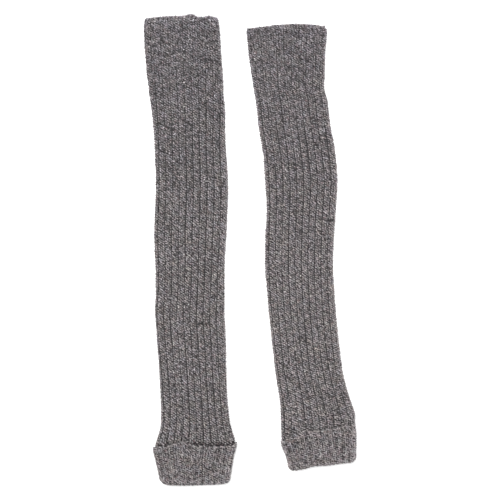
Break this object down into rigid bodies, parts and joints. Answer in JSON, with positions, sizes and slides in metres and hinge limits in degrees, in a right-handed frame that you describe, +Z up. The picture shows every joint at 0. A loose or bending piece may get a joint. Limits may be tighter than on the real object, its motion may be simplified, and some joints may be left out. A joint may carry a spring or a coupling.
{
  "type": "pair of leg warmers",
  "caption": "Pair of long grey marl ribbed knit leg warmers laid flat side by side, each with its lower end turned up as a cuff.",
  "frame": {"origin": "on the surface that the pair lies on, under the middle of the pair's footprint", "axes": "+Y up the legs towards the upper openings, +X towards the leg warmer on the picture's right, +Z up from the surface"},
  "size_m": [0.2824, 0.6194, 0.0122],
  "materials": {
    "left_leg": "matt ribbed wool knit, grey marl",
    "left_cuff": "matt wool knit, grey marl, reverse side out",
    "right_leg": "matt ribbed wool knit, grey marl",
    "right_cuff": "matt wool knit, grey marl, reverse side out"
  },
  "bodies": {
    "root": {"left_leg": "left_leg", "left_cuff": "left_cuff", "right_leg": "right_leg", "right_cuff": "right_cuff"}
  },
  "joints": []
}
